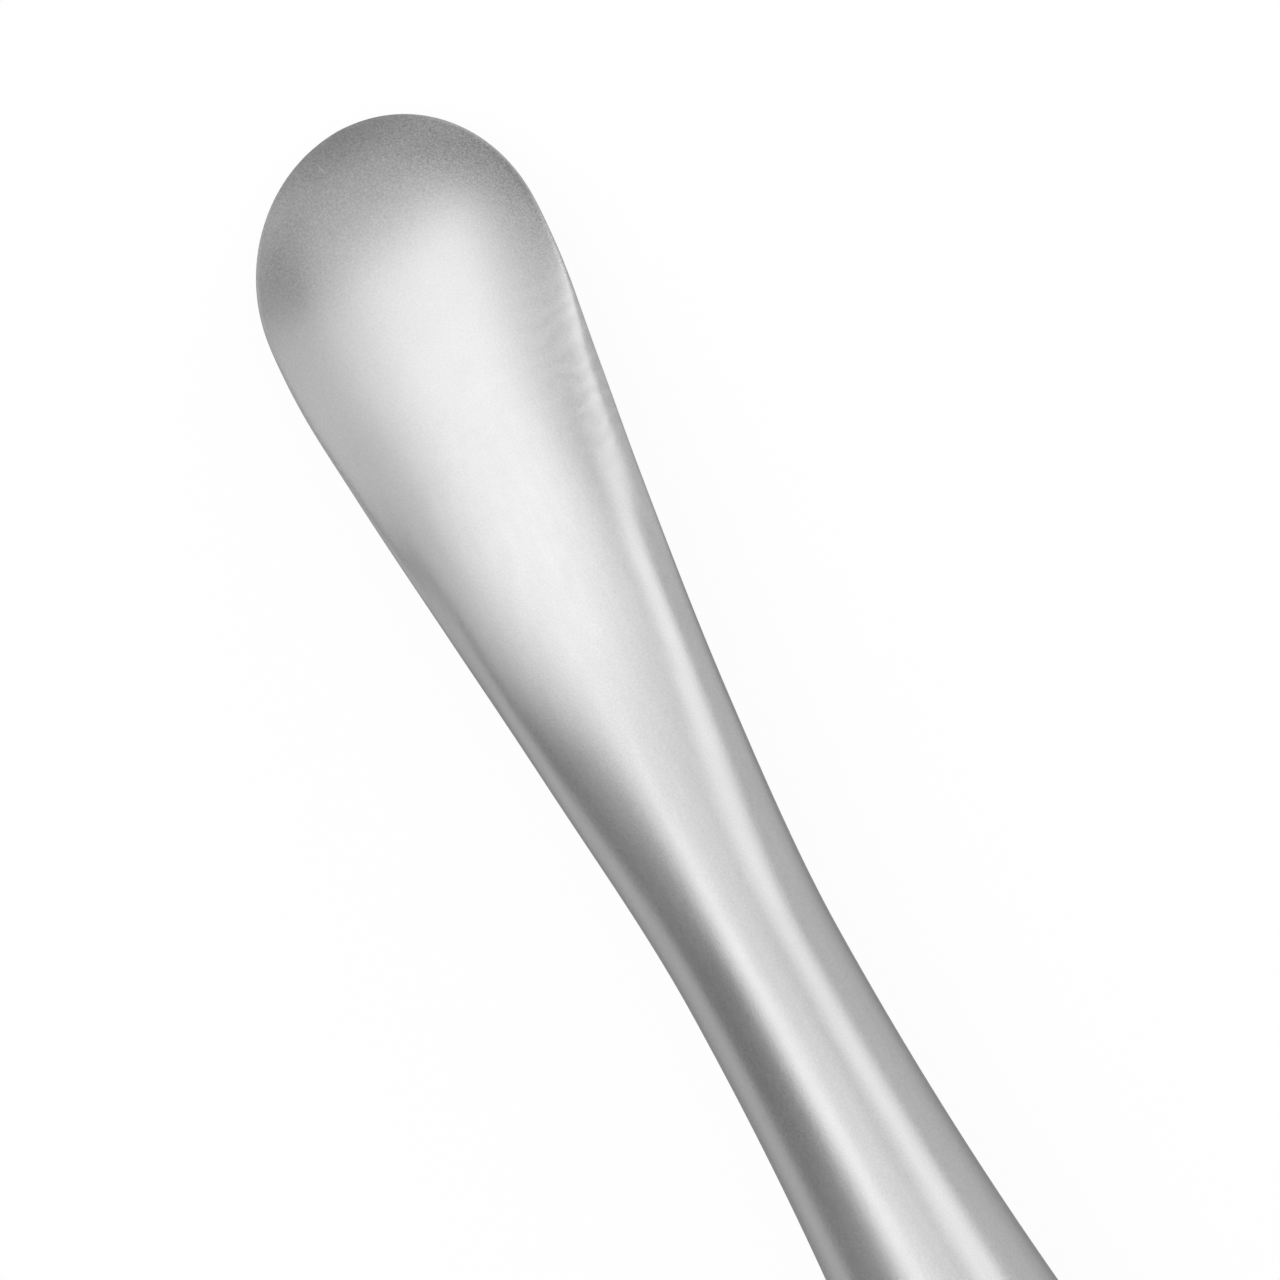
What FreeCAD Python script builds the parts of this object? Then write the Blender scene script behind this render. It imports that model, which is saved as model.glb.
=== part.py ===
import FreeCAD, Part
import math
import os

# A double-ended septum elevator, forged, turned and ground from one bar of stainless steel.
# Millimetres. +X runs along the bar towards the blunt blade, +Z is up, and the part rests on
# the lower flat of its handle. The origin is under the middle of the handle.

overall_length = 185.0

# Handle: a round bar with an upper and a lower flat, each ground this far below the round.
# Along the tapers each flat runs out at a slight slope, so that the bar rests on a rectangle.
handle_diameter = 8.0
flat_depth = 0.4
run_out_degrees = 2.0

# Each end of the handle tapers to a neck along a convex crest and then a concave cove.
neck_diameter = 2.72
neck_from_tip = 15.2
cove_radius = 63.0
crest_radius = 63.0

# Outline of a blade, seen from above. Its end is half an ellipse.
round_end_length = 2.65
widest_from_tip = 3.0
blade_width = 5.0
shoulder_from_tip = 5.3
shoulder_width = 4.54
waist_from_tip = 8.0
waist_width = 3.92
throat_from_tip = 11.0
throat_width = 3.28

# Height of the crowned upper face over the rim line.
blade_crown = 0.61
shoulder_crown = 0.62
waist_crown = 0.8
throat_crown = 1.08

# In the round end the crown thins faster than the width: its share is this power of theirs.
crown_end_power = 1.87

# The upper face rises from its rim at a slope that would meet the level of the crown this share
# of the half width out. From the throat on it leaves the rim upright, as in a round bar.
blade_slope_meet = 0.54
shoulder_slope_meet = 0.55
waist_slope_meet = 0.775
upright_slope_meet = 1.0

# Depth of the lower face under the rim line. The sharp blade is ground thinner.
blunt_blade_belly = 0.2
sharp_blade_belly = 0.1
shoulder_belly = 0.32
waist_belly = 0.58
throat_belly = 1.0

# How full a section is between rim and crown: 0.707 is a true ellipse, and more is squarer.
ellipse_fullness = math.cos(math.pi / 4)
blade_upper_fullness = 1.45
shoulder_upper_fullness = 1.52
waist_upper_fullness = 1.36
throat_upper_fullness = 0.675
blade_lower_fullness = 1.2

# Past a straight stretch at its neck, each blade bends down along one arc. Its tip stays
# this far above the surface that the handle rests on.
straight_neck_length = 2.5
tip_clearance = 0.3

# Spacing of the cross sections that shape a blade.
round_end_sections = 7
first_section_share = 0.08
section_spacing = 0.95

neck_x = overall_length / 2 - neck_from_tip
both_radii = cove_radius + crest_radius
turn = math.acos(1 - (handle_diameter - neck_diameter) / 2 / both_radii)
full_x = neck_x - both_radii * math.sin(turn)
across_flats = handle_diameter - 2 * flat_depth
bend_run = neck_from_tip - straight_neck_length
bend_drop = across_flats / 2 - tip_clearance
bend_radius = (bend_run ** 2 + bend_drop ** 2) / (2 * bend_drop)


def smooth_curve(stations, place):
    """Value at a place on the smooth curve through (place, value) stations, level at both ends."""
    slopes = [0.0]
    for before, here, after in zip(stations, stations[1:], stations[2:]):
        slope_in = (here[1] - before[1]) / (here[0] - before[0])
        slope_out = (after[1] - here[1]) / (after[0] - here[0])
        nearness = (after[0] - here[0]) / (after[0] - before[0])
        slopes.append(slope_in * nearness + slope_out * (1 - nearness))
    slopes.append(0.0)
    index = 0
    while index < len(stations) - 2 and place > stations[index + 1][0]:
        index += 1
    start, start_value = stations[index]
    end, end_value = stations[index + 1]
    span = end - start
    s = min(max((place - start) / span, 0.0), 1.0)
    return (
        start_value * (1 + 2 * s) * (1 - s) ** 2
        + slopes[index] * span * s * (1 - s) ** 2
        + end_value * (3 - 2 * s) * s ** 2
        - slopes[index + 1] * span * (1 - s) * s ** 2
    )


def blade_drop(from_tip):
    """How far the bent axis of a blade lies under the straight axis of the handle."""
    run = max(bend_run - from_tip, 0.0)
    return bend_radius - math.sqrt(bend_radius ** 2 - run ** 2)


def end_share(from_tip):
    """Share of its full size that a section in the rounded end has: half an ellipse."""
    left = max(1 - from_tip / round_end_length, 0.0)
    return math.sqrt(1 - left ** 2)


def along_blade(from_tip, at_blade, at_shoulder, at_waist, at_throat, at_neck):
    """A size that changes smoothly from the round end of a blade to its neck."""
    stations = [
        (widest_from_tip, at_blade),
        (shoulder_from_tip, at_shoulder),
        (waist_from_tip, at_waist),
        (throat_from_tip, at_throat),
        (neck_from_tip, at_neck),
    ]
    return smooth_curve(stations, from_tip)


def half_width(from_tip):
    size = along_blade(
        from_tip, blade_width, shoulder_width, waist_width, throat_width, neck_diameter
    )
    return size / 2 * end_share(from_tip)


def crown_height(from_tip):
    size = along_blade(
        from_tip, blade_crown, shoulder_crown, waist_crown, throat_crown, neck_diameter / 2
    )
    return size * end_share(from_tip) ** crown_end_power


def belly_depth(from_tip, blade_belly):
    size = along_blade(
        from_tip, blade_belly, shoulder_belly, waist_belly, throat_belly, neck_diameter / 2
    )
    return size * end_share(from_tip)


def upper_fullness(from_tip):
    return along_blade(
        from_tip,
        blade_upper_fullness,
        shoulder_upper_fullness,
        waist_upper_fullness,
        throat_upper_fullness,
        ellipse_fullness,
    )


def slope_meet(from_tip):
    return along_blade(
        from_tip,
        blade_slope_meet,
        shoulder_slope_meet,
        waist_slope_meet,
        upright_slope_meet,
        upright_slope_meet,
    )


def lower_fullness(from_tip):
    stations = [(widest_from_tip, blade_lower_fullness), (neck_from_tip, ellipse_fullness)]
    return smooth_curve(stations, from_tip)


def conic_arc(start, corner, end, fullness):
    """A quarter of a section: a conic whose tangents at its two ends meet in the corner."""
    arc = Part.BezierCurve()
    arc.setPoles([start, corner, end])
    arc.setWeight(2, fullness)
    return arc.toShape()


def blade_section(direction, from_tip, blade_belly):
    """Closed wire across a blade, of four conic arcs."""
    x = direction * (overall_length / 2 - from_tip)
    rim_height = -blade_drop(from_tip)
    width = half_width(from_tip)
    crown = crown_height(from_tip)
    belly = belly_depth(from_tip, blade_belly)
    meet = slope_meet(from_tip)
    upper = upper_fullness(from_tip)
    lower = lower_fullness(from_tip)

    def point(side, height):
        return FreeCAD.Vector(x, side * width, rim_height + height)

    return Part.Wire(
        [
            conic_arc(point(-1, 0), point(-meet, crown), point(0, crown), upper),
            conic_arc(point(0, crown), point(meet, crown), point(1, 0), upper),
            conic_arc(point(1, 0), point(1, -belly), point(0, -belly), lower),
            conic_arc(point(0, -belly), point(-1, -belly), point(-1, 0), lower),
        ]
    )


def section_places():
    """Distances from the tip: close together round the end, then evenly spaced to the neck."""
    places = []
    for index in range(round_end_sections):
        along = index / (round_end_sections - 1)
        share = first_section_share + (1 - first_section_share) * along
        places.append(round_end_length * (1 - math.cos(share * math.pi / 2)))
    length = neck_from_tip - round_end_length
    spaces = math.ceil(length / section_spacing)
    for index in range(1, spaces + 1):
        places.append(round_end_length + length * index / spaces)
    return places


def make_blade(direction, blade_belly):
    """A crowned blade with a round end, which grows out of its round neck."""
    sections = [blade_section(direction, place, blade_belly) for place in section_places()]
    return Part.makeLoft(sections, True, False)


def taper_edges():
    """Cove and crest, two tangent arcs from the neck at +X to the full diameter of the handle."""
    neck_radius = neck_diameter / 2
    handle_radius = handle_diameter / 2

    def on_cove(angle):
        x = neck_x - cove_radius * math.sin(angle)
        return FreeCAD.Vector(x, 0, neck_radius + cove_radius * (1 - math.cos(angle)))

    def on_crest(angle):
        x = full_x + crest_radius * math.sin(angle)
        return FreeCAD.Vector(x, 0, handle_radius - crest_radius * (1 - math.cos(angle)))

    cove = Part.Arc(on_cove(0), on_cove(turn / 2), on_cove(turn))
    crest = Part.Arc(on_crest(turn), on_crest(turn / 2), on_crest(0))
    return [cove.toShape(), crest.toShape()]


def make_between_flats():
    """A hexagonal block: all that lies between the two flats and their run-outs."""
    half_height = across_flats / 2
    rise = (neck_x - full_x) * math.tan(math.radians(run_out_degrees))
    corners = [
        FreeCAD.Vector(-neck_x, -handle_diameter, -half_height + rise),
        FreeCAD.Vector(-full_x, -handle_diameter, -half_height),
        FreeCAD.Vector(full_x, -handle_diameter, -half_height),
        FreeCAD.Vector(neck_x, -handle_diameter, -half_height + rise),
        FreeCAD.Vector(neck_x, -handle_diameter, half_height - rise),
        FreeCAD.Vector(full_x, -handle_diameter, half_height),
        FreeCAD.Vector(-full_x, -handle_diameter, half_height),
        FreeCAD.Vector(-neck_x, -handle_diameter, half_height - rise),
    ]
    outline = Part.makePolygon(corners + corners[:1])
    return Part.Face(outline).extrude(FreeCAD.Vector(0, 2 * handle_diameter, 0))


def make_handle():
    """The turned bar from neck to neck, with its two flats ground along it."""
    right = taper_edges()
    left = [edge.mirror(FreeCAD.Vector(0, 0, 0), FreeCAD.Vector(1, 0, 0)) for edge in right]
    right_full = FreeCAD.Vector(full_x, 0, handle_diameter / 2)
    left_full = FreeCAD.Vector(-full_x, 0, handle_diameter / 2)
    right_neck = FreeCAD.Vector(neck_x, 0, neck_diameter / 2)
    left_neck = FreeCAD.Vector(-neck_x, 0, neck_diameter / 2)
    right_axis = FreeCAD.Vector(neck_x, 0, 0)
    left_axis = FreeCAD.Vector(-neck_x, 0, 0)
    edges = right + left + [
        Part.makeLine(right_full, left_full),
        Part.makeLine(right_neck, right_axis),
        Part.makeLine(right_axis, left_axis),
        Part.makeLine(left_axis, left_neck),
    ]
    profile = Part.Face(Part.Wire(Part.__sortEdges__(edges)))
    bar = profile.revolve(FreeCAD.Vector(0, 0, 0), FreeCAD.Vector(1, 0, 0), 360)
    return bar.common(make_between_flats())


def make_elevator():
    """Handle and both blades as one solid, standing on the lower flat of the handle."""
    handle = make_handle()
    blunt_blade = make_blade(1, blunt_blade_belly)
    sharp_blade = make_blade(-1, sharp_blade_belly)
    body = handle.fuse([blunt_blade, sharp_blade])
    body.translate(FreeCAD.Vector(0, 0, across_flats / 2))
    return body


elevator = make_elevator()
print("solids", len(elevator.Solids), "valid", elevator.isValid(), "volume", round(elevator.Volume, 1))
print("box", elevator.BoundBox)
os.makedirs("parts", exist_ok=True)
elevator.exportStep("parts/elevator.step")
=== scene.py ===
import math

import bmesh
import bpy
from bpy.props import FloatProperty, FloatVectorProperty, IntProperty, PointerProperty
from mathutils import Matrix, Vector


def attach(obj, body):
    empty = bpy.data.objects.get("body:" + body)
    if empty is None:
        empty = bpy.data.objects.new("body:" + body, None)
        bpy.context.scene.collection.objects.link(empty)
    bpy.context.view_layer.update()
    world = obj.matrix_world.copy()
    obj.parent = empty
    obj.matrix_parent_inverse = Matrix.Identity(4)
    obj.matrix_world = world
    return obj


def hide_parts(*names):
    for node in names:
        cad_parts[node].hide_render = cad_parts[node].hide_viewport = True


bl_info = {
    "name": "Septum elevator",
    "version": (1, 0, 0),
    "blender": (4, 5, 0),
    "location": "View3D > Sidebar > Septum elevator",
    "description": "Models a double-ended septum elevator in satin steel and its photo stage",
    "category": "Object",
}

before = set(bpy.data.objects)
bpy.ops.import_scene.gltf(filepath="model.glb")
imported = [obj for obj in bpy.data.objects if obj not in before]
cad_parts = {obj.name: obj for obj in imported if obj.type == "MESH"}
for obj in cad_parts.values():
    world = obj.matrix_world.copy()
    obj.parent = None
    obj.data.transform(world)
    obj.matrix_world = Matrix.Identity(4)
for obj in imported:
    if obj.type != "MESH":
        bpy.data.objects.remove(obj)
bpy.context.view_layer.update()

MILLIMETRE = 0.001
ELLIPSE_FULLNESS = math.cos(math.pi / 4)

# Subdivision moves a point of a ring to (the one before + 4 times its own + the one after) / 6.
OWN_WEIGHT = 4
WHOLE_WEIGHT = 6

# How soon a growing crease holds the rim where it is drawn, and the least crease that is set.
CREASE_GRIP = 10
SMALLEST_CREASE = 0.001

# The point of an eased rim moves in and down by these shares of the easing and of the drop.
RIM_INSET_SHARE = 0.3
RIM_SINK_SHARE = 0.25

# The lower point next to an eased rim stands out by this share of the half width.
LOWER_BULGE = 0.01

# Keeps the slope of an upper face finite where it leaves its rim upright.
UPRIGHT_MARGIN = 0.001

CUT_TOLERANCE = 0.001 * MILLIMETRE

# The camera shows nothing that is nearer than this share of its distance.
NEAR_CLIP_SHARE = 0.05


def length(name, description, default_mm):
    """A length property, given in millimetres and kept in metres."""
    return FloatProperty(
        name=name,
        description=description,
        default=default_mm * MILLIMETRE,
        min=0.0,
        unit="LENGTH",
        precision=5,
    )


def share(name, description, default, highest=1.0):
    """A plain number, such as a roughness or how strong a pattern is."""
    return FloatProperty(
        name=name,
        description=description,
        default=default,
        min=0.0,
        max=highest,
        subtype="FACTOR",
        precision=3,
    )


def fullness(name, default):
    """How square a section is between rim and crown."""
    text = "How square the section is between rim and crown: 0.707 is an ellipse"
    return share(name, text, default, highest=4.0)


def turn(name, description, default_degrees):
    """An angle property, given in degrees and kept in radians."""
    return FloatProperty(
        name=name, description=description, default=math.radians(default_degrees), subtype="ANGLE"
    )


class ElevatorSizes(bpy.types.PropertyGroup):
    """The sizes of the elevator. Places are distances from a tip."""

    overall_length: length("Overall length", "From tip to tip", 185.0)
    handle_diameter: length("Handle diameter", "Across the round of the handle", 8.0)
    flat_depth: length("Flat depth", "How far each flat lies below the round", 0.4)
    run_out_slope: turn("Run-out slope", "How a flat slopes off along the tapers", 2.0)
    neck_diameter: length("Neck diameter", "Thinnest place behind a blade", 2.72)
    neck_from_tip: length("Neck from tip", "Distance from the tip to the neck", 15.2)
    cove_radius: length("Cove radius", "Hollow curve from the neck outwards", 63.0)
    crest_radius: length("Crest radius", "Full curve into the handle", 63.0)
    round_end_length: length("Round end", "Length of the half ellipse at the tip", 2.65)
    widest_from_tip: length("Widest from tip", "Place of the widest section", 3.0)
    blade_width: length("Blade width", "Width at the widest section", 5.0)
    shoulder_from_tip: length("Shoulder from tip", "Place of the shoulder", 5.3)
    shoulder_width: length("Shoulder width", "Width at the shoulder", 4.54)
    waist_from_tip: length("Waist from tip", "Place of the waist", 8.0)
    waist_width: length("Waist width", "Width at the waist", 3.92)
    throat_from_tip: length("Throat from tip", "Place of the throat", 11.0)
    throat_width: length("Throat width", "Width at the throat", 3.28)
    blade_crown: length("Blade crown", "Height over the rim at the widest section", 0.61)
    shoulder_crown: length("Shoulder crown", "Height over the rim at the shoulder", 0.62)
    waist_crown: length("Waist crown", "Height over the rim at the waist", 0.8)
    throat_crown: length("Throat crown", "Height over the rim at the throat", 1.08)
    crown_end_power: share("Crown end power", "How fast the crown thins to the tip", 1.87, 4.0)
    blade_meet: share("Blade slope meet", "Where the rim's slope meets the crown's level", 0.54)
    shoulder_meet: share("Shoulder slope meet", "The same at the shoulder", 0.55)
    waist_meet: share("Waist slope meet", "The same at the waist", 0.775)
    blunt_belly: length("Blunt belly", "Depth under the rim of the blunt blade", 0.2)
    sharp_belly: length("Sharp belly", "Depth under the rim of the sharp blade", 0.1)
    shoulder_belly: length("Shoulder belly", "Depth under the rim at the shoulder", 0.32)
    waist_belly: length("Waist belly", "Depth under the rim at the waist", 0.58)
    throat_belly: length("Throat belly", "Depth under the rim at the throat", 1.0)
    blade_fullness: fullness("Blade fullness", 1.45)
    shoulder_fullness: fullness("Shoulder fullness", 1.52)
    waist_fullness: fullness("Waist fullness", 1.36)
    throat_fullness: fullness("Throat fullness", 0.675)
    belly_fullness: fullness("Belly fullness", 2.6)
    straight_neck: length("Straight neck", "Straight stretch before the bend starts", 2.5)
    tip_clearance: length("Tip clearance", "Height of a tip's rim over the table", 0.3)


class MeshDensity(bpy.types.PropertyGroup):
    """How finely the elevator is modelled."""

    ring_points: IntProperty(
        name="Ring points", description="Points round each section", default=40, min=8
    )
    round_end_rings: IntProperty(
        name="Round end rings", description="Sections round a blade's end", default=12, min=4
    )
    first_ring_turn: turn("First ring", "How far round the end the first section stands", 3.0)
    blade_ring_gap: length("Blade ring gap", "Distance between the sections of a blade", 0.45)
    taper_ring_gap: length("Taper ring gap", "Distance between the sections of a taper", 1.2)
    handle_ring_gap: length("Handle ring gap", "Distance between the sections of the handle", 8.0)
    smoothing: IntProperty(
        name="Smoothing", description="Levels of subdivision", default=2, min=0, max=3
    )
    rim_crease: share("Rim crease", "How crisp the rim of a blade's round end is", 0.32)
    rim_easing: length("Rim easing", "How far in from the shoulder's rim the rounding starts", 0.2)
    rim_drop: length("Rim drop", "How far down the shoulder's edge the rounding reaches", 0.17)
    flat_edge: length("Flat edge", "Width of the eased edge round each flat", 0.1)


class SteelFinish(bpy.types.PropertyGroup):
    """The satin finish of the steel."""

    colour: FloatVectorProperty(
        name="Colour",
        description="Colour of the bare steel",
        default=(0.45, 0.45, 0.45),
        subtype="COLOR",
        min=0.0,
        max=1.0,
    )
    edge_tint: share("Edge tint", "Share of the grazing reflection that the steel keeps", 0.35)
    roughness: share("Roughness", "Mean roughness of the satin", 0.36)
    unevenness: share("Unevenness", "How much the roughness varies from place to place", 0.04)
    patch_size: length("Patch size", "Size of the patches of uneven roughness", 0.625)
    # The end shade is painted shade: it darkens the steel's colour towards the very tip in place
    # of the darker reflection there.
    painted_tip_shade: share("End shade", "How much darker the steel is at the very tip", 0.35)
    painted_tip_shade_length: length("End shade length", "Where the darker tip has faded out", 0.85)
    grain_size: length("Grain size", "Size of the blasted grain", 0.035)
    grain_depth: length("Grain depth", "Height of the blasted grain", 0.0018)
    grain_contrast: share("Grain contrast", "How much the grain varies the colour", 0.4)
    tip_contrast: share("Tip contrast", "How much more the grain shows at the blasted tip", 0.7)
    grain_roughness: share("Grain roughness", "How much the grain varies the roughness", 0.2)
    streak_size: length("Streak size", "Width of the ground streaks along the bar", 0.16)
    streak_stretch: share("Streak stretch", "Length of a streak in widths", 20.0, highest=100.0)
    streak_contrast: share("Streak contrast", "How much the streaks vary the colour", 0.1)
    scratch_from_tip: length("Scratch from tip", "Place of the small pale scratch", 0.42)
    scratch_aside: length("Scratch aside", "How far from the middle the scratch is", 0.47)
    scratch_slant: turn("Scratch slant", "Angle between the scratch and the bar", -22.0)
    scratch_length: length("Scratch length", "Length of the scratch", 0.25)
    scratch_width: length("Scratch width", "Width of the scratch", 0.02)
    scratch_core: share("Scratch core", "Share of its length that hasn't faded", 0.7)
    scratch_contrast: share("Scratch contrast", "How much lighter the scratch is", 0.3)
    ripple_pitch: length("Ripple pitch", "Distance between ground ripples across a blade", 0.35)
    ripple_depth: length("Ripple depth", "Height of the ripples by the edge", 0.001)
    ripple_contrast: share("Ripple contrast", "How much the ripples vary the colour", 0.06)
    ripple_start: length("Ripple start", "How far from the middle the ripples start to grow", 1.2)
    ripple_full: length("Ripple full", "How far from the middle they are strongest", 1.923)
    ripple_reach: length("Ripple reach", "How far either way of the shoulder they are so", 0.5)
    ripple_middle: share("Ripple middle", "Strength of the ripples in the middle", 0.15)


class StudioSettings(bpy.types.PropertyGroup):
    """Camera, floor and lights."""

    lens: FloatProperty(
        name="Lens", description="Focal length in millimetres", default=500.0, min=1.0
    )
    picture_width: length("Picture width", "Width of the picture at the neck", 20.52)
    camera_lean: turn("Camera lean", "How far the camera leans from straight above", 9.2)
    picture_turn: turn("Picture turn", "Angle between the blade and upright in the picture", 29.0)
    aim_left: length("Aim left", "Middle of the picture, left of the neck", 2.0)
    aim_up: length("Aim up", "Middle of the picture, above the neck", 5.3)
    floor_size: length("Floor size", "Side of the square floor", 6000.0)
    floor_colour: FloatVectorProperty(
        name="Floor colour",
        description="Colour of the floor",
        default=(0.85, 0.85, 0.85),
        subtype="COLOR",
        min=0.0,
        max=1.0,
    )
    shadow_share: share("Shadow share", "How much of its shading the white floor keeps", 0.06)
    surroundings: share("Surroundings", "Brightness of the studio round the lights", 0.2)
    far_wall: share("Far wall", "Brightness of the studio past the far blade", 0.8)
    wall_start: share("Wall start", "Where it starts: 0 is overhead and 1 level", 0.25)
    wall_full: share("Wall full", "Where it is brightest, by the same measure", 0.8)
    lamp_distance: length("Lamp distance", "From the blade to each soft box", 1000.0)


def settings():
    """The sizes that the sidebar shows."""
    return bpy.context.scene.elevator_sizes


def smooth_curve(stations, place):
    """Value at a place on the smooth curve through (place, value) stations, level at both ends."""
    slopes = [0.0]
    for before, here, after in zip(stations, stations[1:], stations[2:]):
        slope_in = (here[1] - before[1]) / (here[0] - before[0])
        slope_out = (after[1] - here[1]) / (after[0] - here[0])
        nearness = (after[0] - here[0]) / (after[0] - before[0])
        slopes.append(slope_in * nearness + slope_out * (1 - nearness))
    slopes.append(0.0)
    index = 0
    while index < len(stations) - 2 and place > stations[index + 1][0]:
        index += 1
    start, start_value = stations[index]
    end, end_value = stations[index + 1]
    span = end - start
    s = min(max((place - start) / span, 0.0), 1.0)
    return (
        start_value * (1 + 2 * s) * (1 - s) ** 2
        + slopes[index] * span * s * (1 - s) ** 2
        + end_value * (3 - 2 * s) * s**2
        - slopes[index + 1] * span * (1 - s) * s**2
    )


def along_blade(from_tip, at_blade, at_shoulder, at_waist, at_throat, at_neck):
    """A size that changes smoothly from the round end of a blade to its neck."""
    sizes = settings()
    stations = [
        (sizes.widest_from_tip, at_blade),
        (sizes.shoulder_from_tip, at_shoulder),
        (sizes.waist_from_tip, at_waist),
        (sizes.throat_from_tip, at_throat),
        (sizes.neck_from_tip, at_neck),
    ]
    return smooth_curve(stations, from_tip)


def end_share(from_tip):
    """Share of its full size that a section in the rounded end has: half an ellipse."""
    left = max(1 - from_tip / settings().round_end_length, 0.0)
    return math.sqrt(1 - left**2)


def across_flats():
    """Height of the handle between its two flats."""
    return settings().handle_diameter - 2 * settings().flat_depth


def blade_drop(from_tip):
    """How far the bent axis of a blade lies under the straight axis of the handle."""
    sizes = settings()
    full_run = sizes.neck_from_tip - sizes.straight_neck
    full_drop = across_flats() / 2 - sizes.tip_clearance
    radius = (full_run**2 + full_drop**2) / (2 * full_drop)
    run = max(full_run - from_tip, 0.0)
    return radius - math.sqrt(radius**2 - run**2)


def taper_lengths():
    """Lengths of the cove and of the crest, along the bar."""
    sizes = settings()
    rise = (sizes.handle_diameter - sizes.neck_diameter) / 2
    bend = math.acos(1 - rise / (sizes.cove_radius + sizes.crest_radius))
    return sizes.cove_radius * math.sin(bend), sizes.crest_radius * math.sin(bend)


def bar_radius(from_neck):
    """Radius of the turned bar at a distance from the neck towards the handle."""
    sizes = settings()
    cove_length, crest_length = taper_lengths()
    if from_neck <= cove_length:
        hollow = sizes.cove_radius - math.sqrt(sizes.cove_radius**2 - from_neck**2)
        return sizes.neck_diameter / 2 + hollow
    left = max(cove_length + crest_length - from_neck, 0.0)
    fall = sizes.crest_radius - math.sqrt(sizes.crest_radius**2 - left**2)
    return sizes.handle_diameter / 2 - fall


def section(from_tip, belly_at_blade):
    """Half width, and the height, fullness and slope meet of the upper and of the lower face."""
    sizes = settings()
    if from_tip > sizes.neck_from_tip:
        radius = bar_radius(from_tip - sizes.neck_from_tip)
        round_face = (radius, ELLIPSE_FULLNESS, 1.0)
        return radius, round_face, round_face
    width = along_blade(
        from_tip,
        sizes.blade_width,
        sizes.shoulder_width,
        sizes.waist_width,
        sizes.throat_width,
        sizes.neck_diameter,
    )
    crown = along_blade(
        from_tip,
        sizes.blade_crown,
        sizes.shoulder_crown,
        sizes.waist_crown,
        sizes.throat_crown,
        sizes.neck_diameter / 2,
    )
    belly = along_blade(
        from_tip,
        belly_at_blade,
        sizes.shoulder_belly,
        sizes.waist_belly,
        sizes.throat_belly,
        sizes.neck_diameter / 2,
    )
    upper = along_blade(
        from_tip,
        sizes.blade_fullness,
        sizes.shoulder_fullness,
        sizes.waist_fullness,
        sizes.throat_fullness,
        ELLIPSE_FULLNESS,
    )
    meet = along_blade(from_tip, sizes.blade_meet, sizes.shoulder_meet, sizes.waist_meet, 1.0, 1.0)
    lower = smooth_curve(
        [(sizes.widest_from_tip, sizes.belly_fullness), (sizes.neck_from_tip, ELLIPSE_FULLNESS)],
        from_tip,
    )
    size = end_share(from_tip)
    upper_face = (crown * size**sizes.crown_end_power, upper, meet)
    return width / 2 * size, upper_face, (belly * size, lower, 1.0)


def conic_point(angle, full, meet):
    """Where a point of a unit circle's quarter goes on a face of this fullness and slope meet."""
    slope = math.tan(angle)
    ease = ELLIPSE_FULLNESS * (1 - slope)
    place = -ease + math.sqrt(ease**2 + slope)
    corner = 2 * full * place
    whole = 1 + corner + place**2
    return (1 + corner * meet) / whole, (corner + place**2) / whole


def crease_at(from_tip):
    """Edge crease of the rim: it fades out from the round end to the shoulder."""
    crease = bpy.context.scene.elevator_density.rim_crease
    return along_blade(from_tip, crease, 0.0, 0.0, 0.0, 0.0)


def easing_at(from_tip):
    """Share of the full easing that the rim has: all of it at the shoulder of a blade."""
    sizes = settings()
    stations = [
        (sizes.widest_from_tip, 0.0),
        (sizes.shoulder_from_tip, 1.0),
        (sizes.waist_from_tip, 0.0),
    ]
    return smooth_curve(stations, from_tip)


def ease_point(place, easing, half_width, depth, meet, is_upper):
    """Moves the point of a section next to its rim, so that the rim is rounded over."""
    density = bpy.context.scene.elevator_density
    if is_upper:
        across = 1 - density.rim_easing / half_width
        above = (1 - across) / (1 + UPRIGHT_MARGIN - meet)
    else:
        across = 1 + LOWER_BULGE
        above = density.rim_drop / depth
    return place[0] + (across - place[0]) * easing, place[1] + (above - place[1]) * easing


def evenly(start, end, gap):
    """Places from just after start up to end, about a gap apart."""
    spaces = math.ceil((end - start) / gap)
    return [start + (end - start) * step / spaces for step in range(1, spaces + 1)]


def ring_places():
    """Distances from a tip, close together round the end, up to the middle of the handle."""
    sizes = settings()
    density = bpy.context.scene.elevator_density
    steps = density.round_end_rings - 1
    places = []
    for step in range(steps + 1):
        along = density.first_ring_turn + (math.pi / 2 - density.first_ring_turn) * step / steps
        places.append(sizes.round_end_length * (1 - math.cos(along)))
    full_from_tip = sizes.neck_from_tip + sum(taper_lengths())
    places += evenly(sizes.round_end_length, sizes.neck_from_tip, density.blade_ring_gap)
    places += evenly(sizes.neck_from_tip, full_from_tip, density.taper_ring_gap)
    places += evenly(full_from_tip, sizes.overall_length / 2, density.handle_ring_gap)
    return places


def select_points(points):
    """Selects these points of the edited mesh, with the edges between them, and nothing else."""
    bpy.ops.mesh.select_all(action="DESELECT")
    mesh = bpy.context.edit_object.data
    form = bmesh.from_edit_mesh(mesh)
    form.verts.ensure_lookup_table()
    for index in points:
        form.verts[index].select = True
    form.select_flush(True)
    bmesh.update_edit_mesh(mesh)


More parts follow.
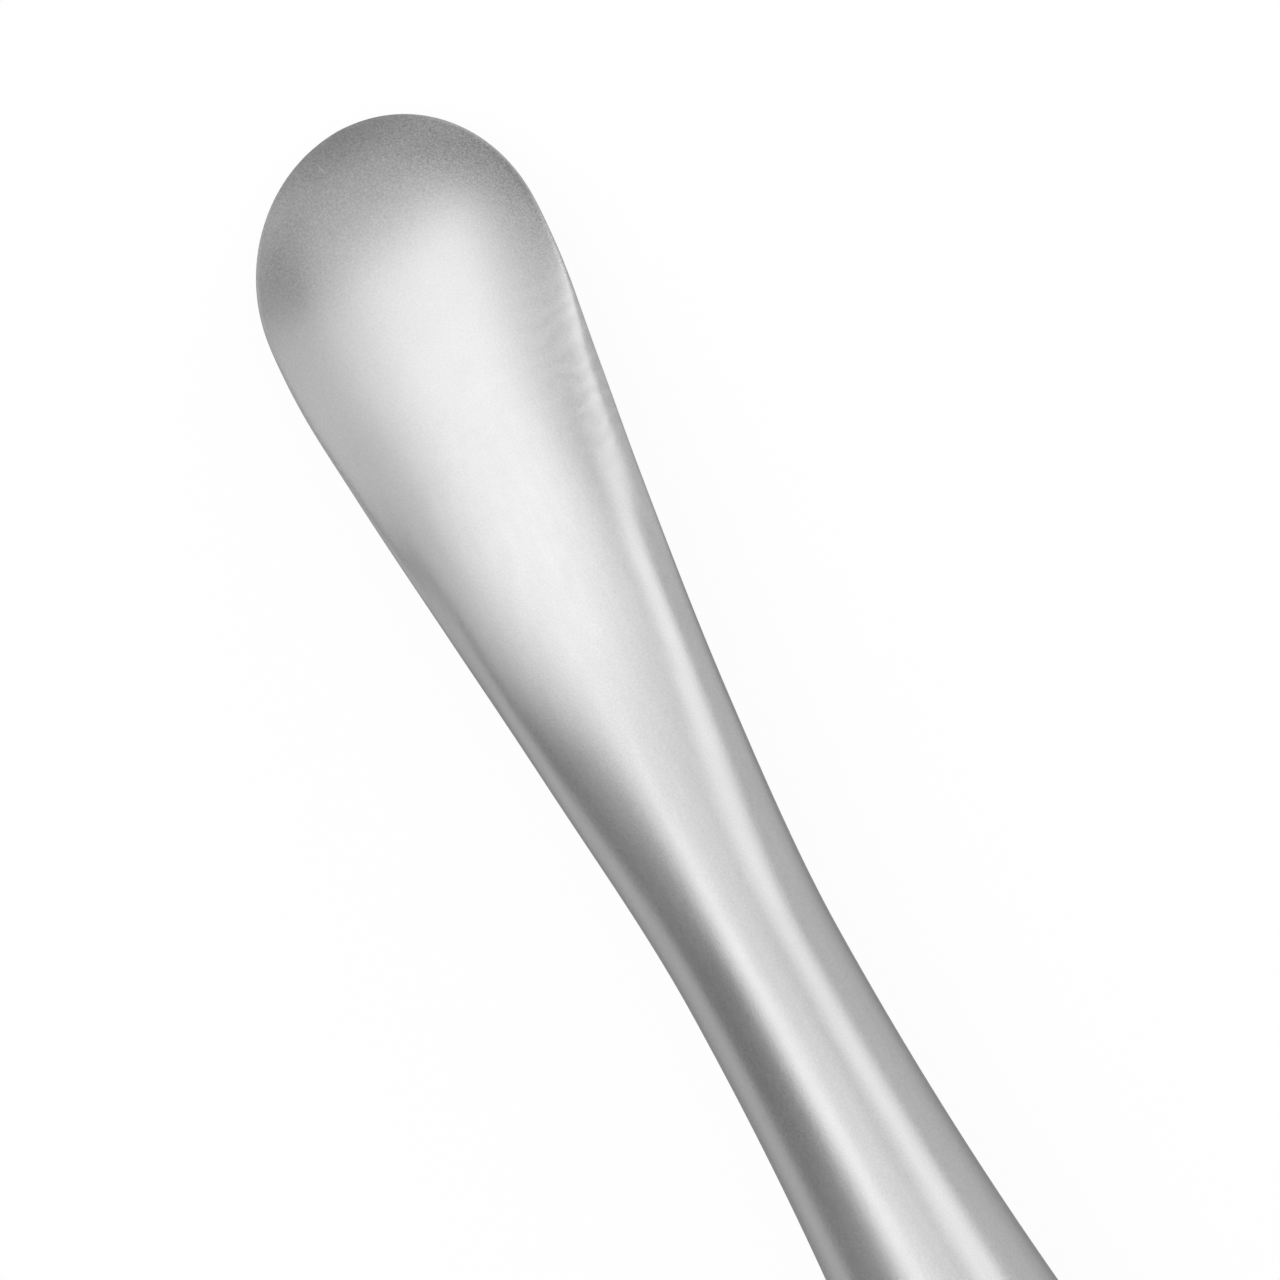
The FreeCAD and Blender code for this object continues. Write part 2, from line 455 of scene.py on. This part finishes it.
def sort_ring(centre, step):
    """Groups the points of a new ring by how many steps above or below the rim they are.

    Gives the groups and the two rim points. Next to a rim each point is a group of its own.
    """
    groups = {}
    rim_points = [0, 0]
    for vertex in bmesh.from_edit_mesh(bpy.context.edit_object.data).verts:
        if vertex.select:
            rise = vertex.co.z - centre.z
            side = int(vertex.co.y > 0)
            steps_up = round(math.atan2(abs(rise), abs(vertex.co.y)) / step)
            if steps_up:
                own_side = side if steps_up == 1 else None
                groups.setdefault((steps_up, rise > 0, own_side), []).append(vertex.index)
            else:
                rim_points[side] = vertex.index
    return groups, rim_points


def stretch(points, centre, across, up):
    """Scales the distance of these points from the centre of their ring, across and upwards."""
    select_points(points)
    bpy.ops.transform.resize(value=(1, across, up), center_override=centre)


def add_ring(x, rim_height, crease, easing, half_width, upper_face, lower_face):
    """Adds a circle across the bar, shapes it to one section and gives its two rim points.

    Only the rim on the -Y side is eased, as the photo shows it.
    """
    density = bpy.context.scene.elevator_density
    step = 2 * math.pi / density.ring_points
    smoothing_gain = WHOLE_WEIGHT / (OWN_WEIGHT + 2 * math.cos(step))
    centre = Vector((x, 0, rim_height))
    bpy.ops.mesh.primitive_circle_add(
        vertices=density.ring_points,
        radius=half_width * smoothing_gain,
        location=centre,
        rotation=(0, math.pi / 2, 0),
    )
    groups, rim_points = sort_ring(centre, step)
    easings = easing, 0.0
    reach = [0.0, 0.0]
    for (steps_up, is_upper, side), points in groups.items():
        angle = steps_up * step
        depth, full, meet = upper_face if is_upper else lower_face
        across, above = conic_point(angle, full, meet)
        if side is not None:
            place = (across, above)
            across, above = ease_point(place, easings[side], half_width, depth, meet, is_upper)
            reach[side] += across
        up = above / math.sin(angle) * depth / half_width
        stretch(points, centre, across / math.cos(angle), up)
    crisp = min(CREASE_GRIP * crease**2, 1.0)
    round_rim = 1 - RIM_INSET_SHARE * density.rim_easing / half_width
    for side in (0, 1):
        smooth_rim = (WHOLE_WEIGHT / smoothing_gain - reach[side]) / OWN_WEIGHT
        rim = smooth_rim + (round_rim - smooth_rim) * easings[side]
        stretch([rim_points[side]], centre, crisp / smoothing_gain + (1 - crisp) * rim, 1)
        sink = RIM_SINK_SHARE * density.rim_drop * easings[side]
        bpy.ops.transform.translate(value=(0, 0, -sink))
    return rim_points


def crease_rims(rim_points, from_tips):
    """Creases the two rims of a blade, edge by edge from its tip to its throat."""
    for side in (0, 1):
        for index in range(1, len(from_tips)):
            crease = crease_at((from_tips[index - 1] + from_tips[index]) / 2)
            if crease > SMALLEST_CREASE:
                select_points([rim_points[index - 1][side], rim_points[index][side]])
                bpy.ops.transform.edge_crease(value=crease)


def close_tips():
    """Fills the small opening left at each end of the bar."""
    bpy.ops.mesh.select_all(action="DESELECT")
    bpy.ops.mesh.select_mode(type="EDGE")
    bpy.ops.mesh.select_non_manifold()
    bpy.ops.mesh.edge_face_add()
    bpy.ops.mesh.select_mode(type="VERT")


def grind_flat(height, outwards):
    """Grinds the two run-outs of a flat and then the level flat at this height between them."""
    sizes = settings()
    neck_x = sizes.overall_length / 2 - sizes.neck_from_tip
    full_x = neck_x - sum(taper_lengths())
    mesh = bpy.context.edit_object.data
    for x, slope in ((full_x, sizes.run_out_slope), (-full_x, -sizes.run_out_slope), (0, 0)):
        points = bmesh.from_edit_mesh(mesh).verts
        select_points([point.index for point in points if abs(point.co.x) < neck_x])
        bpy.ops.mesh.bisect(
            plane_co=(x, 0, height),
            plane_no=(math.sin(slope), 0, outwards * math.cos(slope)),
            use_fill=True,
            clear_outer=True,
            threshold=CUT_TOLERANCE,
        )
        bpy.ops.mesh.inset(thickness=bpy.context.scene.elevator_density.flat_edge, depth=0)


def deselect_all():
    """Leaves nothing selected and no object active."""
    bpy.ops.object.select_all(action="DESELECT")
    bpy.context.view_layer.objects.active = None


def model_elevator():
    """Models the whole bar from tip to tip, ring by ring, and grinds its two flats."""
    sizes = settings()
    density = bpy.context.scene.elevator_density
    deselect_all()
    bpy.ops.mesh.primitive_circle_add(vertices=density.ring_points, radius=sizes.neck_diameter / 2)
    piece = bpy.context.object
    piece.name = "satin_elevator"
    piece.data.name = "satin_elevator"
    bpy.ops.object.mode_set(mode="EDIT")
    bpy.ops.mesh.delete(type="VERT")
    rims = []
    for direction, belly in ((1, sizes.blunt_belly), (-1, sizes.sharp_belly)):
        places = ring_places()
        if direction < 0:
            places.pop()
        rim_points = []
        for place in places:
            x = direction * (sizes.overall_length / 2 - place)
            rim_height = across_flats() / 2 - blade_drop(place)
            rim = crease_at(place), easing_at(place)
            rim_points.append(add_ring(x, rim_height, *rim, *section(place, belly)))
        rims.append((rim_points, places))
    bpy.ops.mesh.select_all(action="SELECT")
    bpy.ops.mesh.bridge_edge_loops()
    for rim_points, places in rims:
        crease_rims(rim_points, places)
    close_tips()
    bpy.ops.mesh.select_all(action="SELECT")
    bpy.ops.mesh.normals_make_consistent(inside=False)
    bpy.ops.object.mode_set(mode="OBJECT")
    bpy.ops.object.modifier_add(type="SUBSURF")
    smooth = piece.modifiers[-1]
    smooth.levels = density.smoothing
    smooth.render_levels = density.smoothing
    bpy.ops.object.modifier_apply(modifier=smooth.name)
    bpy.ops.object.mode_set(mode="EDIT")
    grind_flat(0.0, -1)
    grind_flat(across_flats(), 1)
    bpy.ops.object.mode_set(mode="OBJECT")
    bpy.ops.object.shade_smooth()
    return piece


def add_node(tree, kind, inputs=None, **options):
    """Adds a node. An input is linked if it is given another node's socket, or else set."""
    node = tree.nodes.new(kind)
    for name, value in options.items():
        setattr(node, name, value)
    for name, value in (inputs or {}).items():
        if isinstance(value, bpy.types.NodeSocket):
            tree.links.new(value, node.inputs[name])
        else:
            node.inputs[name].default_value = value
    return node


def add_math(tree, operation, first, second=0.0):
    """A sum, product or other calculation with two numbers or sockets."""
    node = add_node(tree, "ShaderNodeMath", {0: first, 1: second}, operation=operation)
    return node.outputs[0]


def add_ramp(tree, value, start, end, at_start=0.0, at_end=1.0):
    """A smooth ramp from one level to another while the value goes from start to end."""
    levels = {
        "Value": value,
        "From Min": start,
        "From Max": end,
        "To Min": at_start,
        "To Max": at_end,
    }
    node = add_node(tree, "ShaderNodeMapRange", levels, interpolation_type="SMOOTHSTEP")
    return node.outputs["Result"]


def add_noise(tree, place, size, detail):
    """Noise between 0 and 1 whose spots have about this size."""
    levels = {"Vector": place, "Scale": 1 / size, "Detail": detail, "Roughness": 0.6}
    return add_node(tree, "ShaderNodeTexNoise", levels).outputs["Fac"]


def add_variation(tree, pattern, contrast):
    """A factor round 1 that follows a pattern between 0 and 1."""
    return add_math(tree, "ADD", add_math(tree, "MULTIPLY", pattern, contrast), 1 - contrast / 2)


def ripple_strength(tree, along, across, from_tip):
    """Where the ripples of grinding are: by one edge of the blunt blade, faint in its middle."""
    finish = bpy.context.scene.elevator_finish
    sizes = settings()
    shoulder = sizes.shoulder_from_tip
    by_edge = add_ramp(tree, across, -finish.ripple_start, -finish.ripple_full)
    starts = add_ramp(tree, from_tip, sizes.widest_from_tip, shoulder - finish.ripple_reach)
    ends = add_ramp(tree, from_tip, shoulder + finish.ripple_reach, sizes.waist_from_tip, 1.0, 0.0)
    blunt = add_math(tree, "GREATER_THAN", along, 0.0)
    lengthwise = add_math(tree, "MULTIPLY", add_math(tree, "MULTIPLY", starts, ends), blunt)
    crosswise = add_math(tree, "ADD", by_edge, finish.ripple_middle)
    return add_math(tree, "MULTIPLY", lengthwise, crosswise)


def ground_ripples(tree, place, strength):
    """Wavy bands across the bar, between -0.5 and 0.5 times their strength."""
    bands = add_node(
        tree,
        "ShaderNodeTexWave",
        {
            "Vector": place,
            "Scale": math.pi / 10 / bpy.context.scene.elevator_finish.ripple_pitch,
            "Distortion": 6.0,
            "Detail": 2.0,
            "Detail Scale": 2.2,
        },
        bands_direction="X",
    ).outputs["Fac"]
    return add_math(tree, "MULTIPLY", add_math(tree, "SUBTRACT", bands, 0.5), strength)


def ground_streaks(tree, place, from_tip):
    """Streaks along the bar, between 0 and 1, that fade out towards the tips."""
    finish = bpy.context.scene.elevator_finish
    sizes = settings()
    squeeze = (1 / finish.streak_stretch, 1.0, 1.0)
    drawn_out = add_node(tree, "ShaderNodeMapping", {"Vector": place, "Scale": squeeze})
    streaks = add_noise(tree, drawn_out.outputs["Vector"], finish.streak_size, detail=1.0)
    fade = add_ramp(tree, from_tip, sizes.widest_from_tip, sizes.waist_from_tip)
    faded = add_math(tree, "MULTIPLY", add_math(tree, "SUBTRACT", streaks, 0.5), fade)
    return add_math(tree, "ADD", faded, 0.5)


def scratch_strength(tree, from_tip, across):
    """Where the small scratch is: a short slanting line near the tips."""
    finish = bpy.context.scene.elevator_finish
    cosine = math.cos(finish.scratch_slant)
    sine = math.sin(finish.scratch_slant)
    down = add_math(tree, "SUBTRACT", from_tip, finish.scratch_from_tip)
    aside = add_math(tree, "SUBTRACT", across, finish.scratch_aside)
    run = add_math(
        tree,
        "ADD",
        add_math(tree, "MULTIPLY", down, cosine),
        add_math(tree, "MULTIPLY", aside, sine),
    )
    off = add_math(
        tree,
        "SUBTRACT",
        add_math(tree, "MULTIPLY", aside, cosine),
        add_math(tree, "MULTIPLY", down, sine),
    )
    half = finish.scratch_length / 2
    core = finish.scratch_core * half
    within = add_ramp(tree, add_math(tree, "ABSOLUTE", run), core, half, 1.0, 0.0)
    close = add_ramp(tree, add_math(tree, "ABSOLUTE", off), 0.0, finish.scratch_width, 1.0, 0.0)
    return add_math(tree, "MULTIPLY", within, close)


def steel_tone(tree, from_tip, grain, streaks, ripples, scratch):
    """How light the steel is, as a factor of its colour, with painted shade that darkens the very
    tip.
    """
    finish = bpy.context.scene.elevator_finish
    # Painted shade: the colour fades darker towards the very tip, standing in for the dark
    # reflection there.
    darkest = 1 - finish.painted_tip_shade
    tone = add_ramp(tree, from_tip, 0.0, finish.painted_tip_shade_length, darkest, 1.0)
    tone = add_math(tree, "MULTIPLY", tone, add_variation(tree, grain, finish.grain_contrast))
    tone = add_math(tree, "MULTIPLY", tone, add_variation(tree, streaks, finish.streak_contrast))
    at_tip = add_ramp(tree, from_tip, 0.0, settings().widest_from_tip, finish.tip_contrast, 0.0)
    specks = add_math(tree, "MULTIPLY", add_math(tree, "SUBTRACT", grain, 0.5), at_tip)
    tone = add_math(tree, "MULTIPLY", tone, add_math(tree, "ADD", specks, 1.0))
    bands = add_math(tree, "MULTIPLY", ripples, finish.ripple_contrast)
    tone = add_math(tree, "MULTIPLY", tone, add_math(tree, "ADD", bands, 1.0))
    line = add_math(tree, "MULTIPLY", scratch, finish.scratch_contrast)
    return add_math(tree, "ADD", tone, line)


def steel_roughness(tree, place, grain):
    """Roughness that varies round its mean, from grain to grain and in larger patches."""
    finish = bpy.context.scene.elevator_finish
    patches = add_noise(tree, place, finish.patch_size, detail=2.0)
    patches = add_math(tree, "MULTIPLY", patches, finish.unevenness)
    specks = add_math(tree, "MULTIPLY", grain, finish.grain_roughness)
    least = finish.roughness - (finish.unevenness + finish.grain_roughness) / 2
    return add_math(tree, "ADD", add_math(tree, "ADD", patches, specks), least)


def satin_steel():
    """Neutral grey steel: a fine blasted grain, faint ground streaks, ripples and a scratch, with
    painted shade at the very tip.
    """
    finish = bpy.context.scene.elevator_finish
    material = bpy.data.materials.new("satin_steel")
    material.use_nodes = True
    tree = material.node_tree
    tree.nodes.clear()
    place = add_node(tree, "ShaderNodeTexCoord").outputs["Object"]
    along, across, _ = add_node(tree, "ShaderNodeSeparateXYZ", {"Vector": place}).outputs
    from_middle = add_math(tree, "ABSOLUTE", along)
    from_tip = add_math(tree, "SUBTRACT", settings().overall_length / 2, from_middle)
    grain = add_noise(tree, place, finish.grain_size, detail=2.0)
    streaks = ground_streaks(tree, place, from_tip)
    ripples = ground_ripples(tree, place, ripple_strength(tree, along, across, from_tip))
    scratch = scratch_strength(tree, from_tip, across)
    tone = steel_tone(tree, from_tip, grain, streaks, ripples, scratch)
    colour = add_node(
        tree, "ShaderNodeVectorMath", {0: tuple(finish.colour), "Scale": tone}, operation="SCALE"
    )
    ripple_share = finish.ripple_depth / finish.grain_depth
    height = add_math(tree, "ADD", grain, add_math(tree, "MULTIPLY", ripples, ripple_share))
    bump = add_node(
        tree, "ShaderNodeBump", {"Strength": 1.0, "Distance": finish.grain_depth, "Height": height}
    )
    steel = add_node(
        tree,
        "ShaderNodeBsdfPrincipled",
        {
            "Base Color": colour.outputs["Vector"],
            "Metallic": 1.0,
            "Roughness": steel_roughness(tree, place, grain),
            "Specular Tint": (finish.edge_tint, finish.edge_tint, finish.edge_tint, 1.0),
            "Normal": bump.outputs["Normal"],
        },
    )
    add_node(tree, "ShaderNodeOutputMaterial", {"Surface": steel.outputs["BSDF"]})
    return material


def make_floor():
    """A level white floor that keeps a faint shadow of the elevator."""
    studio = bpy.context.scene.elevator_studio
    deselect_all()
    bpy.ops.mesh.primitive_plane_add(size=studio.floor_size)
    floor = bpy.context.object
    floor.name = "floor"
    material = bpy.data.materials.new("white_floor")
    material.use_nodes = True
    tree = material.node_tree
    tree.nodes.clear()
    paper = add_node(
        tree, "ShaderNodeBsdfDiffuse", {"Color": (*studio.floor_colour, 1.0)}
    ).outputs["BSDF"]
    glow = add_node(tree, "ShaderNodeEmission", {"Strength": 1.0}).outputs["Emission"]
    path = add_node(tree, "ShaderNodeLightPath").outputs
    bounced = add_math(tree, "ADD", path["Is Glossy Ray"], path["Is Transmission Ray"])
    seen = add_math(tree, "ADD", path["Is Camera Ray"], bounced)
    glow_share = add_math(tree, "MULTIPLY", seen, 1 - studio.shadow_share)
    surface = add_node(tree, "ShaderNodeMixShader", {0: glow_share, 1: paper, 2: glow})
    add_node(tree, "ShaderNodeOutputMaterial", {"Surface": surface.outputs[0]})
    floor.data.materials.append(material)


def neck_point():
    """Centre of the neck behind the blunt blade."""
    sizes = settings()
    return Vector((sizes.overall_length / 2 - sizes.neck_from_tip, 0, across_flats() / 2))


def add_soft_box(name, across, along, half_width, half_length, brightness):
    """A soft lamp on a sphere round the neck, by its angles in degrees from straight above."""
    distance = bpy.context.scene.elevator_studio.lamp_distance
    across = math.radians(across)
    along = math.radians(along)
    to_lamp = Vector(
        (
            math.sin(along),
            -math.cos(along) * math.sin(across),
            math.cos(along) * math.cos(across),
        )
    )
    bpy.ops.object.light_add(type="AREA", location=neck_point() + to_lamp * distance)
    lamp = bpy.context.object
    lamp.name = name
    length_way = Vector((1, 0, 0)) - to_lamp * to_lamp.x
    length_way.normalize()
    lamp.matrix_world = Matrix.Translation(lamp.location) @ Matrix(
        (length_way, to_lamp.cross(length_way), to_lamp)
    ).transposed().to_4x4()
    lamp.data.shape = "RECTANGLE"
    lamp.data.size = 2 * distance * math.tan(math.radians(half_length))
    lamp.data.size_y = 2 * distance * math.tan(math.radians(half_width))
    lamp.data.energy = brightness * math.pi * lamp.data.size * lamp.data.size_y
    lamp.visible_camera = False


def make_lights():
    """Five soft boxes: overhead, a bright core, low on the right, on the left and past the tip."""
    add_soft_box(
        "overhead_box", across=13, along=16, half_width=27, half_length=45, brightness=1.28
    )
    add_soft_box("core_box", across=-15, along=0, half_width=13, half_length=6, brightness=2.83)
    add_soft_box("right_box", across=64, along=9, half_width=18, half_length=20, brightness=2.06)
    add_soft_box("left_box", across=-45, along=27, half_width=35, half_length=15.5, brightness=1.0)
    add_soft_box("tip_box", across=-15, along=53, half_width=26, half_length=25, brightness=0.75)


def make_world():
    """A dim plain studio round the lights, paler past the far blade."""
    world = bpy.data.worlds.new("studio")
    bpy.context.scene.world = world
    world.use_nodes = True
    tree = world.node_tree
    tree.nodes.clear()
    studio = bpy.context.scene.elevator_studio
    way = add_node(tree, "ShaderNodeTexCoord").outputs["Generated"]
    along = add_node(tree, "ShaderNodeSeparateXYZ", {"Vector": way}).outputs["X"]
    wall = -studio.wall_start, -studio.wall_full
    level = add_ramp(tree, along, *wall, studio.surroundings, studio.far_wall)
    white = (1.0, 1.0, 1.0, 1.0)
    backdrop = add_node(tree, "ShaderNodeBackground", {"Color": white, "Strength": level})
    add_node(tree, "ShaderNodeOutputWorld", {"Surface": backdrop.outputs[0]})


def make_camera():
    """The camera of the photo, high over the blade and leaning to one side."""
    studio = bpy.context.scene.elevator_studio
    back = Vector((0, -math.sin(studio.camera_lean), math.cos(studio.camera_lean)))
    side = Vector((0, -math.cos(studio.camera_lean), -math.sin(studio.camera_lean)))
    tipwards = Vector((1, 0, 0))
    right = math.cos(studio.picture_turn) * side - math.sin(studio.picture_turn) * tipwards
    up = math.sin(studio.picture_turn) * side + math.cos(studio.picture_turn) * tipwards
    aim = neck_point() - right * studio.aim_left + up * studio.aim_up
    bpy.ops.object.camera_add()
    camera = bpy.context.object
    camera.name = "photo_camera"
    camera.data.lens = studio.lens
    distance = studio.picture_width * studio.lens / camera.data.sensor_width
    camera.data.clip_start = NEAR_CLIP_SHARE * distance
    camera.data.clip_end = 2 * studio.floor_size
    turned = Matrix((right, up, back)).transposed().to_4x4()
    camera.matrix_world = Matrix.Translation(aim + back * distance) @ turned
    bpy.context.scene.camera = camera


class ELEVATOR_OT_add_elevator(bpy.types.Operator):
    """Models the steel elevator where the packed part is, and gives it its finish"""

    bl_idname = "elevator.add_elevator"
    bl_label = "Add elevator"

    def execute(self, context):
        piece = model_elevator()
        piece.data.materials.append(satin_steel())
        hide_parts("elevator")
        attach(piece, "root")
        return {"FINISHED"}


class ELEVATOR_OT_add_stage(bpy.types.Operator):
    """Adds the floor, the lights, the world and the camera"""

    bl_idname = "elevator.add_stage"
    bl_label = "Add stage"

    def execute(self, context):
        make_floor()
        make_lights()
        make_world()
        make_camera()
        context.scene.view_settings.view_transform = "Standard"
        return {"FINISHED"}


GROUPS = {
    "elevator_sizes": ElevatorSizes,
    "elevator_density": MeshDensity,
    "elevator_finish": SteelFinish,
    "elevator_studio": StudioSettings,
}


class ELEVATOR_PT_sidebar(bpy.types.Panel):
    """Sizes, finish and stage of the elevator"""

    bl_label = "Septum elevator"
    bl_space_type = "VIEW_3D"
    bl_region_type = "UI"
    bl_category = "Septum elevator"

    def draw(self, context):
        for name, group in GROUPS.items():
            box = self.layout.box()
            box.label(text=group.__doc__)
            for size in group.__annotations__:
                box.prop(getattr(context.scene, name), size)
        self.layout.operator(ELEVATOR_OT_add_elevator.bl_idname)
        self.layout.operator(ELEVATOR_OT_add_stage.bl_idname)


CLASSES = (*GROUPS.values(), ELEVATOR_OT_add_elevator, ELEVATOR_OT_add_stage, ELEVATOR_PT_sidebar)


def register():
    for each in CLASSES:
        bpy.utils.register_class(each)
    for name, group in GROUPS.items():
        setattr(bpy.types.Scene, name, PointerProperty(type=group))


def unregister():
    for name in GROUPS:
        delattr(bpy.types.Scene, name)
    for each in reversed(CLASSES):
        bpy.utils.unregister_class(each)


def main():
    """Adds the elevator and its stage."""
    register()
    bpy.ops.elevator.add_elevator()
    bpy.ops.elevator.add_stage()


if __name__ == "__main__":
    main()
